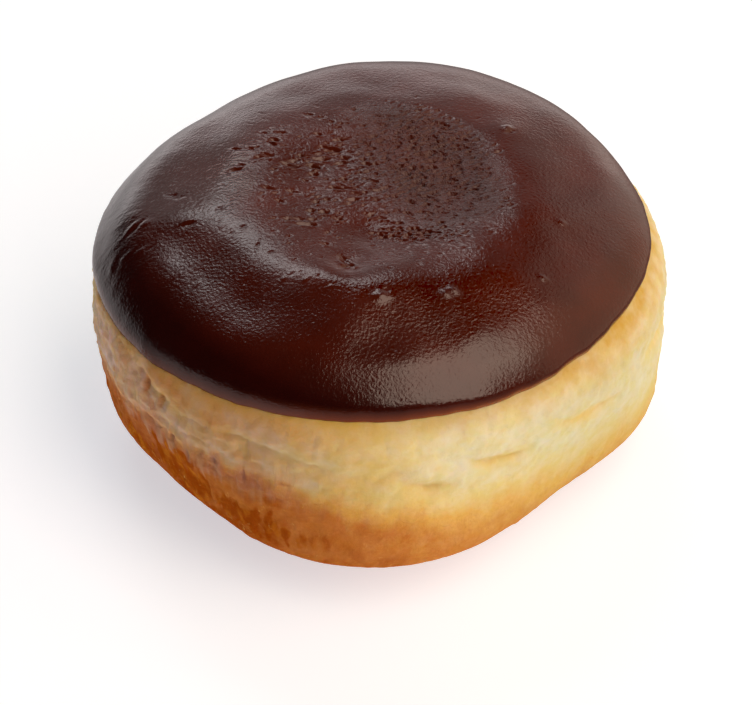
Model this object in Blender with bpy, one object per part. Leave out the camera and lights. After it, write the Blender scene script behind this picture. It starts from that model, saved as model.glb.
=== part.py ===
"""A filled shell doughnut with a cap of chocolate icing, standing on its flat foot.

Units are metres and +Z is up. The origin is the middle of the foot, on the surface that the doughnut
stands on, and -Y is its front. The fried body is one turned profile, pushed in and out round its plan,
creased round its pale waist and sunk in the middle of its top. The icing is a shell poured over the top
of that body, with a rounded lip.
"""

import math

import bpy
import numpy as np
from mathutils import Vector, noise

# Driving dimensions
FOOT_RADIUS = 0.0224
FOOT_OFFSET = (0.0007, -0.0003)
SHOULDER_RADIUS = 0.0399
SHOULDER_HEIGHT = 0.0058
SIDE_RADIUS = 0.0437
SIDE_HEIGHT = 0.0169
WAIST_RADIUS = 0.0440
WAIST_HEIGHT = 0.0281
ICED_RADIUS = 0.0416
ICED_HEIGHT = 0.0333
BROW_RADIUS = 0.0380
BROW_HEIGHT = 0.0373
BRINK_RADIUS = 0.0322
BRINK_HEIGHT = 0.0398
CREST_RADIUS = 0.0215
CREST_HEIGHT = 0.0424
DIP_RADIUS = 0.0110
DIP_HEIGHT = 0.0418
UNDERSIDE_SHARE = 0.8

# Icing
ICING_EDGE_HEIGHT = 0.0329
ICING_THICKNESS = 0.0013
LIP_WIDTH = 0.0017
LIP_FOOT = 0.35
GAP = 0.0003
STEP_IN = 0.0012
STEP_OUT = 0.0004

# Mesh steps
SECTORS = 96
SIDE_ROWS = 10
WAIST_ROWS = 12
WAIST_ROWS_FROM = 0.0180
COVERED_ROWS = 9
LIP_ROWS = 3
ICING_ROWS = 15
SPLINE_STEPS = 12
POLE_SHARE = 0.985
NUDGE = 0.0002

# Lobes round the plan as (count, share of the radius, azimuth of one lobe in degrees), the underside's
# fading out towards the back, and waves of the icing's edge as (count, height, azimuth of one crest)
PLAN_LOBES = ((2, 0.025, 56.0), (3, 0.003, -25.0), (4, 0.014, -10.0))
UNDERSIDE_LOBES = ((2, 0.028, 270.0), (3, 0.010, 270.0), (5, 0.044, 270.0), (6, 0.021, 300.0))
ICING_EDGE_WAVES = ((1, 0.0025, -1.0), (2, 0.0016, 59.0), (5, 0.0002, 40.0))

# Creases round the waist as (from azimuth, to azimuth, from height, to height, sag, depth, width)
CREASES = (
    (206.0, 236.0, 0.0305, 0.0275, 0.0005, 0.0008, 0.0014),
    (232.0, 268.0, 0.0288, 0.0250, -0.0012, 0.0008, 0.0014),
    (262.0, 277.0, 0.0253, 0.0264, 0.0003, 0.0009, 0.0014),
    (272.0, 286.0, 0.0250, 0.0222, 0.0010, 0.0010, 0.0014),
    (286.0, 303.0, 0.0266, 0.0246, 0.0018, 0.0008, 0.0013),
    (306.0, 328.0, 0.0262, 0.0232, 0.0006, 0.0007, 0.0014),
    (336.0, 372.0, 0.0250, 0.0258, 0.0014, 0.0007, 0.0013),
    (15.0, 58.0, 0.0268, 0.0250, -0.0012, 0.0008, 0.0012),
    (64.0, 92.0, 0.0244, 0.0262, 0.0015, 0.0007, 0.0012),
    (90.0, 131.0, 0.0270, 0.0256, -0.0010, 0.0008, 0.0013),
    (138.0, 170.0, 0.0252, 0.0268, 0.0012, 0.0007, 0.0012),
    (176.0, 203.0, 0.0272, 0.0292, 0.0009, 0.0006, 0.0012),
)

# Hollows and knobs on the top as (x, y, radius, height above the surface)
TOP_MARKS = (
    (-0.0045, -0.0175, 0.0026, -0.0006),
    (-0.0085, -0.0200, 0.0035, 0.0003),
    (-0.0008, -0.0090, 0.0038, -0.0007),
    (0.0020, -0.0190, 0.0040, 0.0003),
    (-0.0310, -0.0040, 0.0040, 0.0004),
    (0.0194, 0.0154, 0.0028, 0.0002),
)
RIM_SWELL = 0.0004
RIM_SWELL_AZIMUTH = 228.0
RIM_SWELL_WIDTH = 0.0045
RIM_CENTRE_X = -0.0020
LUMP_SIZES = ((0.019, 0.0005), (0.008, 0.0002))
LUMP_SHIFT = Vector((0.117, 0.063, 0.099))


def smooth_run(points, steps):
    """A smooth run of points through the given (radius, height) points."""
    given = np.array(points)
    run = []
    for i in range(len(given) - 1):
        start, end = given[i], given[i + 1]
        leave = (end - given[max(i - 1, 0)]) / 2
        arrive = (given[min(i + 2, len(given) - 1)] - start) / 2
        for t in np.arange(steps) / steps:
            run.append(
                start * (2 * t**3 - 3 * t**2 + 1)
                + leave * (t**3 - 2 * t**2 + t)
                + end * (3 * t**2 - 2 * t**3)
                + arrive * (t**3 - t**2)
            )
    run.append(given[-1])
    return np.array(run)


def body_profile():
    """Distances along the profile, radii and heights, from the foot's edge up to the middle of the top."""
    run = smooth_run(
        (
            (FOOT_RADIUS, 0.0),
            (SHOULDER_RADIUS, SHOULDER_HEIGHT),
            (SIDE_RADIUS, SIDE_HEIGHT),
            (WAIST_RADIUS, WAIST_HEIGHT),
            (ICED_RADIUS, ICED_HEIGHT),
            (BROW_RADIUS, BROW_HEIGHT),
            (BRINK_RADIUS, BRINK_HEIGHT),
            (CREST_RADIUS, CREST_HEIGHT),
            (DIP_RADIUS, DIP_HEIGHT),
            (0.0, DIP_HEIGHT),
        ),
        SPLINE_STEPS,
    )
    steps = np.hypot(*np.diff(run, axis=0).T)
    return np.concatenate(([0.0], np.cumsum(steps))), run[:, 0], run[:, 1]


ALONG, RADII, HEIGHTS = body_profile()
SIDE_POINTS = int(np.argmax(HEIGHTS)) + 1
PROFILE_END = ALONG[-1] * POLE_SHARE


def on_profile(distance):
    """(radius, height) at a distance along the profile."""
    return float(np.interp(distance, ALONG, RADII)), float(np.interp(distance, ALONG, HEIGHTS))


def distance_at_height(height):
    """How far along the profile the body's side reaches a height."""
    return float(np.interp(height, HEIGHTS[:SIDE_POINTS], ALONG[:SIDE_POINTS]))


def waves(lobes, azimuth):
    """The sum of cosine lobes round the plan."""
    return sum(size * math.cos(count * (azimuth - math.radians(at))) for count, size, at in lobes)


def smooth_body(azimuth, distance):
    """A point of the body with its plan lobes and without its relief."""
    radius, height = on_profile(distance)
    low = max(0.0, 1 - height / WAIST_HEIGHT)
    under = (1 - math.cos(math.pi * min(1.0, low / UNDERSIDE_SHARE))) / 2
    front = (1 - math.sin(azimuth)) / 2
    scale = 1 + waves(PLAN_LOBES, azimuth) + waves(UNDERSIDE_LOBES, azimuth) * under * front
    x = scale * radius * math.cos(azimuth) + low * FOOT_OFFSET[0]
    y = scale * radius * math.sin(azimuth) + low * FOOT_OFFSET[1]
    return Vector((x, y, height))


def body_normal(azimuth, distance):
    """The outward normal of the body without its relief."""
    lower = max(distance - NUDGE, 0.0)
    upper = min(distance + NUDGE, PROFILE_END)
    turn = NUDGE / WAIST_RADIUS
    along = smooth_body(azimuth, upper) - smooth_body(azimuth, lower)
    around = smooth_body(azimuth + turn, distance) - smooth_body(azimuth - turn, distance)
    return around.cross(along).normalized()


def falloff(x, width):
    """1 at x = 0, fading to nothing over the width."""
    return math.exp(-((x / width) ** 2))


def crease_relief(azimuth, height):
    """How far the folds round the pale waist sink the surface, with the bulge above each fold."""
    turn = math.degrees(azimuth) % 360
    relief = 0.0
    for start, end, low, high, sag, depth, width in CREASES:
        share = ((turn - start) % 360) / (end - start)
        if share >= 1:
            continue
        middle = low + (high - low) * share - sag * math.sin(math.pi * share)
        fade = math.sin(math.pi * share)
        relief -= depth * fade * falloff(height - middle, width)
        relief += 0.4 * depth * fade * falloff(height - middle - 2.2 * width, 1.8 * width)
    return relief


def rim_relief(point):
    """The swelling along the rim of the sunken top."""
    x, y = point.x - RIM_CENTRE_X, point.y
    facing = math.cos(math.atan2(y, x) - math.radians(RIM_SWELL_AZIMUTH))
    return RIM_SWELL * max(0.0, facing) ** 1.5 * falloff(math.hypot(x, y) - CREST_RADIUS - 0.001, RIM_SWELL_WIDTH)


def mark_relief(point):
    """The pinches and knobs on the top."""
    return sum(
        height * falloff(math.hypot(point.x - x, point.y - y), radius) for x, y, radius, height in TOP_MARKS
    )


def relief_at(azimuth, point):
    """The relief of the body's surface at a point, fading out at the foot so that the foot stays flat."""
    lumps = sum(size * noise.noise((point + LUMP_SHIFT) / length) for length, size in LUMP_SIZES)
    if point.z > BROW_HEIGHT:
        return lumps + rim_relief(point) + mark_relief(point)
    return lumps * min(1.0, point.z / SHOULDER_HEIGHT) + crease_relief(azimuth, point.z)


def on_body(azimuth, distance, lift=0.0):
    """A point of the finished body's surface, lifted off it by a distance."""
    point = smooth_body(azimuth, distance)
    return point + body_normal(azimuth, distance) * (relief_at(azimuth, point) + lift)


def icing_edge(azimuth):
    """How far along the profile the icing's lower edge lies."""
    return distance_at_height(ICING_EDGE_HEIGHT + waves(ICING_EDGE_WAVES, azimuth))


def azimuths():
    """The azimuths of a ring's points."""
    return [2 * math.pi * i / SECTORS for i in range(SECTORS)]


def ring(lift, place):
    """One ring of points, at the distance along the profile that place gives for each azimuth."""
    return [on_body(a, place(a), lift) for a in azimuths()]


def covered_place(share):
    """A rule for how far along the profile a ring under the icing lies, from the icing's edge to the middle."""
    return lambda a: icing_edge(a) + share * (PROFILE_END - icing_edge(a))


def body_rings():
    """The body's rings from the foot's edge to the middle of the top, sunk by the gap under the icing."""
    rings = []
    side_end = distance_at_height(WAIST_ROWS_FROM)
    for row in range(SIDE_ROWS):
        rings.append(ring(0.0, lambda a, reach=side_end * row / SIDE_ROWS: reach))
    for row in range(WAIST_ROWS + 1):
        share = row / WAIST_ROWS
        rings.append(ring(0.0, lambda a, share=share: side_end + share * (icing_edge(a) - STEP_IN - side_end)))
    rings.append(ring(-GAP, lambda a: icing_edge(a) - STEP_OUT))
    for row in range(COVERED_ROWS + 1):
        rings.append(ring(-GAP, covered_place(row / COVERED_ROWS)))
    return rings


def lip_height(distance):
    """The icing's thickness at a distance in from its edge."""
    share = min(1.0, distance / LIP_WIDTH)
    rounded = math.sqrt(1 - (1 - share) ** 2)
    return ICING_THICKNESS * (LIP_FOOT + (1 - LIP_FOOT) * rounded)


def icing_outer_rings():
    """The icing's upper surface from its edge inwards."""
    rings = []
    for row in range(LIP_ROWS):
        inwards = LIP_WIDTH * (row / LIP_ROWS) ** 1.5
        rings.append(ring(lip_height(inwards), lambda a, inwards=inwards: icing_edge(a) + inwards))
    for row in range(ICING_ROWS + 1):
        share = row / ICING_ROWS

        def place(a, share=share):
            start = icing_edge(a) + LIP_WIDTH
            return start + share * (PROFILE_END - start)

        rings.append(ring(ICING_THICKNESS, place))
    return rings


def icing_inner_rings():
    """The icing's underside from the middle outwards to its edge."""
    return [ring(0.0, covered_place(row / COVERED_ROWS)) for row in range(COVERED_ROWS, -1, -1)]


def stitch(faces, lower, upper):
    """Quads between two rings of the same length, given as their first vertex numbers."""
    for i in range(SECTORS):
        j = (i + 1) % SECTORS
        faces.append((lower + i, lower + j, upper + j, upper + i))


def fan(faces, first, centre, upwards):
    """Triangles from a ring to the point in its middle."""
    for i in range(SECTORS):
        j = (i + 1) % SECTORS
        faces.append((first + i, first + j, centre) if upwards else (first + j, first + i, centre))


def ring_centre(points):
    """The middle of a ring."""
    return sum(points, Vector()) / len(points)


def material(name, colour, roughness):
    """A plain food finish."""
    made = bpy.data.materials.new(name)
    made.use_nodes = True
    shader = made.node_tree.nodes["Principled BSDF"]
    shader.inputs["Base Color"].default_value = (*colour, 1.0)
    shader.inputs["Roughness"].default_value = roughness
    shader.inputs["Metallic"].default_value = 0.0
    made.diffuse_color = (*colour, 1.0)
    return made


def new_object(name, points, faces, finish):
    """A named, smooth-shaded solid."""
    mesh = bpy.data.meshes.new(name)
    mesh.from_pydata([tuple(p) for p in points], [], faces)
    mesh.materials.append(finish)
    mesh.shade_smooth()
    made = bpy.data.objects.new(name, mesh)
    bpy.context.scene.collection.objects.link(made)
    return made


def make_dough():
    """The fried body, flat underneath, recessed a little where the icing lies on it."""
    rings = body_rings()
    points = [p for r in rings for p in r]
    faces = [tuple(reversed(range(SECTORS)))]
    for row in range(len(rings) - 1):
        stitch(faces, row * SECTORS, (row + 1) * SECTORS)
    points.append(ring_centre(rings[-1]))
    fan(faces, (len(rings) - 1) * SECTORS, len(points) - 1, True)
    new_object("dough", points, faces, material("fried_dough", (0.72, 0.42, 0.16), 0.55))


def make_icing():
    """The chocolate cap: its upper surface, its underside and the narrow face of its edge."""
    outer, inner = icing_outer_rings(), icing_inner_rings()
    points = [p for r in outer + inner for p in r]
    faces = []
    for row in range(len(outer) - 1):
        stitch(faces, row * SECTORS, (row + 1) * SECTORS)
    first_inner = len(outer) * SECTORS
    for row in range(len(inner) - 1):
        stitch(faces, first_inner + row * SECTORS, first_inner + (row + 1) * SECTORS)
    stitch(faces, first_inner + (len(inner) - 1) * SECTORS, 0)
    points.append(ring_centre(outer[-1]))
    fan(faces, (len(outer) - 1) * SECTORS, len(points) - 1, True)
    points.append(ring_centre(inner[0]))
    fan(faces, first_inner, len(points) - 1, False)
    new_object("icing", points, faces, material("chocolate_icing", (0.045, 0.013, 0.008), 0.3))


def main():
    for old in list(bpy.data.objects):
        bpy.data.objects.remove(old, do_unlink=True)
    make_dough()
    make_icing()


main()
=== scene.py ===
"""A cream-filled doughnut: its fried dough and its chocolate icing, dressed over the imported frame.

Lengths are metres, the foot stands on z = 0 and the doughnut's front faces -Y. Both pieces are made from
one turned profile. The dough is that profile with its folds, puckers and blisters, and the icing lies on it
as a poured shell with a rounded lip, bubble pits and a pebbled middle.
"""

import math

import bpy
import numpy as np
from bpy.props import FloatProperty, FloatVectorProperty, IntProperty, PointerProperty
from mathutils import Matrix, Vector, noise


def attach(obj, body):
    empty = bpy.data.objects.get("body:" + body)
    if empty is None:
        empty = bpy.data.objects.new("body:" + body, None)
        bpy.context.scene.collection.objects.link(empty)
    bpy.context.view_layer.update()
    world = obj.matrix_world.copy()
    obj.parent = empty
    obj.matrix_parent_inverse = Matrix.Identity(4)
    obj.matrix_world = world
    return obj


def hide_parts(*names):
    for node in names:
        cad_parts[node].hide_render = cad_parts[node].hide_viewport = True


bl_info = {
    "name": "Cream-Filled Doughnut",
    "version": (1, 0, 0),
    "blender": (4, 5, 0),
    "location": "View3D > Sidebar > Doughnut",
    "description": "Makes a filled, iced doughnut over its frame, with a plain stage",
    "category": "Object",
}

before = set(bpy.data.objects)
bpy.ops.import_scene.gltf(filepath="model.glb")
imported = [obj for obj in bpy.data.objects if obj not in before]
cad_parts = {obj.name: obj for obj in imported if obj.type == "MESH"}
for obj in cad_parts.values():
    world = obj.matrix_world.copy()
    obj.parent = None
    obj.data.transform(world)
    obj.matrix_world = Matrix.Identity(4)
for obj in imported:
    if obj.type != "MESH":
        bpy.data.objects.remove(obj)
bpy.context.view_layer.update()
BODY = "root"

# The turned profile, as radii and heights
FOOT_RADIUS = 0.0224
FOOT_OFFSET = (0.0007, -0.0003)
SHOULDER = (0.0399, 0.0058)
SIDE = (0.0437, 0.0169)
WAIST = (0.0440, 0.0281)
ICED = (0.0416, 0.0333)
BROW = (0.0380, 0.0373)
BRINK = (0.0322, 0.0398)
CREST = (0.0215, 0.0424)
DIP = (0.0110, 0.0418)
UNDERSIDE_SHARE = 0.8
SPLINE_STEPS = 96
NUDGE = 0.0002

# Lobes and waves as (count, size, azimuth of one crest in degrees)
PLAN_LOBES = ((2, 0.025, 56.0), (3, 0.003, -25.0), (4, 0.014, -10.0))
UNDERSIDE_LOBES = ((2, 0.028, 270.0), (3, 0.010, 270.0), (5, 0.044, 270.0), (6, 0.021, 300.0))
ICING_EDGE_HEIGHT = 0.0329
ICING_EDGE_WAVES = ((1, 0.0025, -1.0), (2, 0.0016, 59.0), (5, 0.0002, 40.0))

# Folds round the waist as (from azimuth, to azimuth, from height, to height, sag, depth, width)
FOLDS = (
    (206, 236, 0.0305, 0.0275, 0.0005, 0.0005, 0.0014),
    (232, 268, 0.0288, 0.0250, -0.0012, 0.0005, 0.0014),
    (262, 277, 0.0253, 0.0264, 0.0003, 0.0006, 0.0014),
    (272, 286, 0.0250, 0.0222, 0.0010, 0.0006, 0.0014),
    (286, 303, 0.0266, 0.0246, 0.0018, 0.0005, 0.0013),
    (306, 328, 0.0262, 0.0232, 0.0006, 0.0005, 0.0014),
    (336, 372, 0.0250, 0.0258, 0.0014, 0.0005, 0.0013),
    (15, 58, 0.0268, 0.0250, -0.0012, 0.0005, 0.0012),
    (64, 92, 0.0244, 0.0262, 0.0015, 0.0005, 0.0012),
    (90, 131, 0.0270, 0.0256, -0.0010, 0.0005, 0.0013),
    (138, 170, 0.0252, 0.0268, 0.0012, 0.0005, 0.0012),
    (176, 203, 0.0272, 0.0292, 0.0009, 0.0004, 0.0012),
)

# Hollows and knobs on the top as (x, y, radius, height above the surface)
TOP_MARKS = (
    (-0.0045, -0.0175, 0.0026, -0.0006),
    (-0.0085, -0.0200, 0.0035, 0.0003),
    (-0.0008, -0.0090, 0.0038, -0.0007),
    (0.0020, -0.0190, 0.0040, 0.0003),
    (-0.0310, -0.0040, 0.0040, 0.0004),
    (0.0194, 0.0154, 0.0028, 0.0002),
)
RIM_SWELL = 0.0004
RIM_SWELL_AZIMUTH = 228.0
RIM_SWELL_WIDTH = 0.0045
RIM_CENTRE_X = -0.0020
LUMP_SIZES = ((0.019, 0.0005), (0.008, 0.0002))
LUMP_SHIFT = (0.117, 0.063, 0.099)
GAP = 0.0003

# Torn pocket in the waist as (azimuth, height, half width, half height, depth)
POCKET = (243.0, 0.0272, 0.0012, 0.0020, 0.0004)

# Darkest patches of the crust as (azimuth, height, half width, half height, strength)
BURNS = (
    (209, 0.0120, 0.0060, 0.0026, 0.90),
    (221, 0.0140, 0.0030, 0.0030, 1.00),
    (227.5, 0.0142, 0.0058, 0.0042, 1.00),
    (244, 0.0128, 0.0060, 0.0028, 1.00),
    (257.5, 0.0128, 0.0036, 0.0018, 0.55),
    (249, 0.0186, 0.0022, 0.0008, 0.50),
    (192, 0.0135, 0.0050, 0.0030, 0.80),
    (160, 0.0115, 0.0100, 0.0030, 0.45),
    (60, 0.0120, 0.0090, 0.0024, 0.42),
)

# Torn slits in the crust, painted darker inside as shade, as (azimuth, height, half width, half height,
# depth)
SLITS = (
    (225.8, 0.0220, 0.0004, 0.0014, 0.00030),
    (236.7, 0.0225, 0.0005, 0.0007, 0.00025),
    (243.5, 0.0219, 0.0004, 0.0013, 0.00035),
    (251.8, 0.0229, 0.0011, 0.0003, 0.00025),
    (230, 0.0205, 0.0003, 0.0010, 0.00025),
    (218, 0.0285, 0.0006, 0.0016, 0.00040),
    (223, 0.0279, 0.0006, 0.0014, 0.00035),
    (205, 0.0230, 0.0004, 0.0012, 0.00025),
    (150, 0.0235, 0.0004, 0.0011, 0.00025),
)

# Sides where the crust is streaked, the waist wrinkled or veiled, and the band gilded most
STREAKED_AZIMUTH = 222.0
WRINKLED_AZIMUTH = 212.0
VEILED_AZIMUTH = 218.0
GILDED_AZIMUTH = 350.0

# Heights where the waist's relief begins, is full, and ends again, and the edge of the brown crust
BELT = (0.0165, 0.0215, 0.0300, 0.0335)
BROWN_LINE = 0.0202
BROWN_LINE_WAVES = ((1, 0.0012, 250.0), (3, 0.0008, 20.0))
BROWN_LINE_DIP = (284.0, 0.0110, 0.0018)

# Rows of the dough under the icing, and how far its full height reaches in below the edge
COVERED_ROWS = 9
ICING_OVERLAP = 0.0012

# Painted shade round the waist, darker and warmer on the shaded left, a little darker at the front and
# darker on the lit right, as (azimuth, full half width, half width where it ends) or (azimuth, width)
ROSY_SHADE = (206.0, 0.0070, 0.0260)
TAWNY_SHADE = (241.0, 0.0180)
HONEY_SHADE = (266.0, 0.0085)
RIGHT_SHADE = (352.0, 0.0220, 0.0600)

# Least and most red, green and blue of the cream and yellow patches
CREAM_MOTTLE = ((0.99, 1.02), (0.965, 1.03), (0.78, 1.15))

# Blisters, and how far each side is toasted
BLISTER_SEED = 7
BLISTER_COUNT = 420
BLISTER_ZONE = 0.021
TOASTED = ((1, 0.28, 222.0), (2, 0.22, 222.0))
TOASTED_MIDDLE = 0.42

# The icing's edge, the side where its colour is painted lighter as if lit by the key light, and the scuffed
# side
LIP_FOOT = 0.1
LIP_CURVE = 2.4
LIP_SPREAD = 2.2
LIP_SPREAD_AZIMUTH = 225.0
PAINTED_LIGHT_SIDE = (0.709, 0.41, 0.574)
PAINTED_LIGHT_FULL = 0.63
EDGE_WANDER = 0.0003
SCUFFED_AZIMUTH = 178.0

# Rings of points on the lip, by the share of its width out, and underneath, by the share of the way in
LIP_RINGS = (0.2, 0.4, 0.58, 0.74, 0.87, 0.96, 1.0)
UNDERSIDE_RINGS = (0.0, 0.02, 0.2, 0.45, 0.7, 0.985)

# Marks on the icing as (x, y, half length, half width, turn in degrees, height)
FINE_MARKS = (
    (-0.0054, -0.0162, 0.0009, 0.0004, -50, -0.00045),
    (-0.0045, -0.0176, 0.0007, 0.0004, -40, -0.00040),
    (-0.0037, -0.0185, 0.0006, 0.0004, 20, 0.00030),
    (-0.0056, -0.0175, 0.0010, 0.0005, -45, 0.00022),
    (0.0002, -0.0246, 0.0011, 0.0007, 20, 0.00035),
    (0.0010, -0.0236, 0.0006, 0.0004, 0, -0.00020),
    (0.0096, -0.0233, 0.0006, 0.0004, 30, 0.00028),
    (0.0107, -0.0226, 0.0006, 0.0004, -20, 0.00028),
    (0.0239, -0.0184, 0.0005, 0.0004, 0, 0.00025),
    (0.0271, -0.0063, 0.0005, 0.0005, 0, 0.00022),
    (0.0194, 0.0154, 0.0007, 0.0005, 0, 0.00035),
    (0.0199, 0.0146, 0.0006, 0.0003, 30, -0.00035),
    (-0.0370, -0.0032, 0.0013, 0.0003, 50, 0.00026),
    (-0.0366, -0.0038, 0.0012, 0.0003, 50, -0.00024),
    (-0.0350, -0.0036, 0.0009, 0.0004, -15, 0.00018),
    (-0.0394, -0.0091, 0.0011, 0.0003, 95, 0.00020),
    (-0.0389, -0.0090, 0.0011, 0.0003, 95, -0.00020),
    (-0.0374, -0.0086, 0.0005, 0.0004, 0, 0.00018),
    (-0.0357, -0.0092, 0.0006, 0.0003, 45, 0.00016),
    (-0.0345, -0.0246, 0.0010, 0.0002, 100, 0.00014),
    (-0.0312, 0.0014, 0.0006, 0.0004, 10, -0.00030),
    (-0.0302, 0.0006, 0.0007, 0.0003, 10, -0.00024),
    (-0.0287, -0.0058, 0.0008, 0.0003, -10, 0.00026),
    (-0.0284, -0.0064, 0.0007, 0.0003, -10, -0.00026),
    (-0.0267, -0.0187, 0.0003, 0.0003, 0, 0.00014),
    (-0.0140, -0.0208, 0.0003, 0.0003, 0, 0.00016),
    (-0.0109, -0.0214, 0.0003, 0.0003, 0, 0.00016),
)

# Burst bubbles as (count, middle x, middle y, spread x, spread y, half lengths, half widths, depths)
PIT_FIELDS = (
    (58, -0.0085, 0.0045, 0.0070, 0.0092, (0.00055, 0.00105), (0.00026, 0.00040), (0.00036, 0.00058)),
    (110, -0.0090, 0.0030, 0.0085, 0.0105, (0.00028, 0.00050), (0.00018, 0.00028), (0.00016, 0.00034)),
    (220, -0.0100, 0.0000, 0.0090, 0.0100, (0.00018, 0.00030), (0.00014, 0.00020), (0.00008, 0.00020)),
    (1100, 0.0070, 0.0085, 0.0062, 0.0080, (0.00026, 0.00050), (0.00018, 0.00028), (0.00012, 0.00030)),
    (130, 0.0095, -0.0095, 0.0055, 0.0035, (0.00022, 0.00045), (0.00016, 0.00024), (0.00008, 0.00020)),
    (110, 0.0040, -0.0095, 0.0030, 0.0010, (0.00022, 0.00045), (0.00016, 0.00024), (0.00016, 0.00036)),
)

# The level middle of the icing and the pits on it
PIT_SEED = 19
PIT_TURN = 14.0
PLATEAU_RADIUS = 0.0225
PLATEAU_RINGS_SHARE = 0.76

# Camera and stage
CAMERA_TARGET = (0.0, 0.0, 0.022)
CAMERA_DROP = 0.00835
CAMERA_LEFT = 0.00057
FLOOR_SIZE = 4.0
FLOOR_LIGHT = (0.88, 0.94, 1.0)
SOFT_BOX_DISTANCE = 1.2

# Soft boxes as (azimuth, elevation, turn, left, right, bottom, top) in a plane one unit away
KEY_BOX = (333, 35, 55, -0.46, 1.20, 0, 0.73)
BACK_BOX = (104, 47, -40, -0.23, 0.27, -0.11, 0.11)
KEY_COLOUR = (1.0, 0.80, 0.64)

# Patches of the sky as (strength, azimuth, half width, softness, elevation, half height, softness)
SKY_PATCHES = (
    (1.00, 50, 72, 6, 24, 28, 6),
    (-0.58, 94, 24, 8, 26, 14, 8),
    (-0.57, 83, 15, 8, 49, 9, 5),
    (-0.42, 59, 9, 5, 47, 9, 5),
    (0.26, 98, 32, 6, -2, 10, 8),
    (0.28, 0, 180, 1, -50, 44, 6),
    (0.42, 130, 28, 8, -20, 18, 6),
    (0.30, -160, 40, 15, -45, 35, 10),
    (-0.20, 10, 30, 15, 30, 20, 15),
)
WARM_SKY = (1.0, 0.84, 0.60)
COOL_SKY = (1.0, 0.93, 0.93)


def colour_setting(name, description, default):
    """A colour that the panel shows."""
    return FloatVectorProperty(name=name, description=description, default=default, subtype="COLOR")


class DoughnutSizes(bpy.types.PropertyGroup):
    """Sizes of the doughnut's two pieces."""

    icing_thickness: FloatProperty(
        name="Icing Thickness", description="Thickness of the icing", default=0.0013, unit="LENGTH"
    )
    lip_width: FloatProperty(
        name="Lip Width", description="Width of the icing's rounded edge", default=0.0014, unit="LENGTH"
    )
    dough_sectors: IntProperty(name="Dough Sectors", description="Points round the dough", default=720)
    dough_rows: IntProperty(name="Dough Rows", description="Rows from the foot to the icing", default=116)
    icing_rings: IntProperty(name="Icing Rings", description="Rings over the icing's top", default=140)


class DoughnutColours(bpy.types.PropertyGroup):
    """Colours of the dough and the icing."""

    crumb: colour_setting("Pale Waist", "Dough that the oil did not reach", (0.86, 0.80, 0.53))
    butter: colour_setting("Yellow Crust", "Faintly fried crust", (0.86, 0.69, 0.31))
    gilt: colour_setting("Band Below the Icing", "Golden band below the icing", (0.60, 0.345, 0.048))
    gold: colour_setting("Golden Crust", "Lightly fried crust", (0.84, 0.50, 0.145))
    brown: colour_setting("Brown Crust", "Fried crust", (0.60, 0.215, 0.048))
    dark: colour_setting("Dark Crust", "Darkest patches of the crust", (0.34, 0.060, 0.003))
    amber: colour_setting("Amber Crust", "Lighter specks in the darkest patches", (0.52, 0.15, 0.012))
    # Painted shade in the creases of the folds, in a darker yellow
    fold: colour_setting("Folds", "Dough inside the folds", (0.80, 0.58, 0.20))
    # The next four colours are painted shade on the waist: darker and warmer on the shaded left, a little
    # darker at the front and darker on the lit right
    rosy_shade: colour_setting("Rosy Tint", "Tint of the waist at the left", (0.86, 0.67, 0.95))
    tawny_shade: colour_setting("Tawny Tint", "Tint of the waist left of the front", (0.72, 0.52, 0.52))
    honey_shade: colour_setting("Honey Tint", "Tint of the waist at the front", (0.96, 0.88, 0.64))
    right_shade: colour_setting("Ripe Tint", "Tint of the waist at the right", (0.80, 0.81, 0.77))
    veil: colour_setting("Torn Skin", "Pale torn skin over the crust", (0.62, 0.43, 0.28))
    # Painted shade in the hollow of the torn pocket
    pocket: colour_setting("Torn Pocket", "Dough inside the torn pocket", (0.66, 0.42, 0.16))
    flecks: colour_setting("Flecks", "Light flakes on the brown crust", (0.86, 0.52, 0.15))
    icing: colour_setting("Icing", "Chocolate icing", (0.019, 0.0013, 0.0006))
    # Painted light: icing colour made lighter and redder where the surface faces up and to the right,
    # towards the key light
    painted_lit_icing: colour_setting("Warm Icing", "Icing over the middle and the right", (0.072, 0.0078, 0.0018))
    thin_icing: colour_setting("Thin Icing", "Icing where it thins out at its edge", (0.32, 0.060, 0.012))


class DoughnutStage(bpy.types.PropertyGroup):
    """The floor, the lights and the camera."""

    camera_distance: FloatProperty(
        name="Camera Distance", description="Camera to doughnut", default=0.62, unit="LENGTH"
    )
    camera_elevation: FloatProperty(
        name="Camera Elevation",
        description="Height angle of the camera",
        default=math.radians(40.0),
        subtype="ANGLE",
    )
    focal_length: FloatProperty(name="Focal Length", description="Lens in millimetres", default=191.06)
    floor: colour_setting("Floor", "Colour of the floor", (0.66, 0.685, 0.74))
    floor_glow: FloatProperty(name="Floor Glow", description="Light given off by the floor", default=0.60)
    key: FloatProperty(name="Key Light", description="Brightness of the right soft box", default=3.35)
    back: FloatProperty(name="Back Light", description="Brightness of the back soft box", default=3.7)
    wall: FloatProperty(name="Wall", description="Brightness of the wall behind", default=0.95)
    sky: FloatProperty(name="Sky", description="Brightness of the dim surroundings", default=0.012)


def smooth_run(points, steps):
    """A smooth run of points through the given (radius, height) points."""
    given = np.array(points)
    run = []
    for i in range(len(given) - 1):
        start, end = given[i], given[i + 1]
        leave = (end - given[max(i - 1, 0)]) / 2
        arrive = (given[min(i + 2, len(given) - 1)] - start) / 2
        t = (np.arange(steps) / steps)[:, None]
        run.append(
            start * (2 * t**3 - 3 * t**2 + 1)
            + leave * (t**3 - 2 * t**2 + t)
            + end * (3 * t**2 - 2 * t**3)
            + arrive * (t**3 - t**2)
        )
    run.append(given[-1:])
    return np.concatenate(run)


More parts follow.
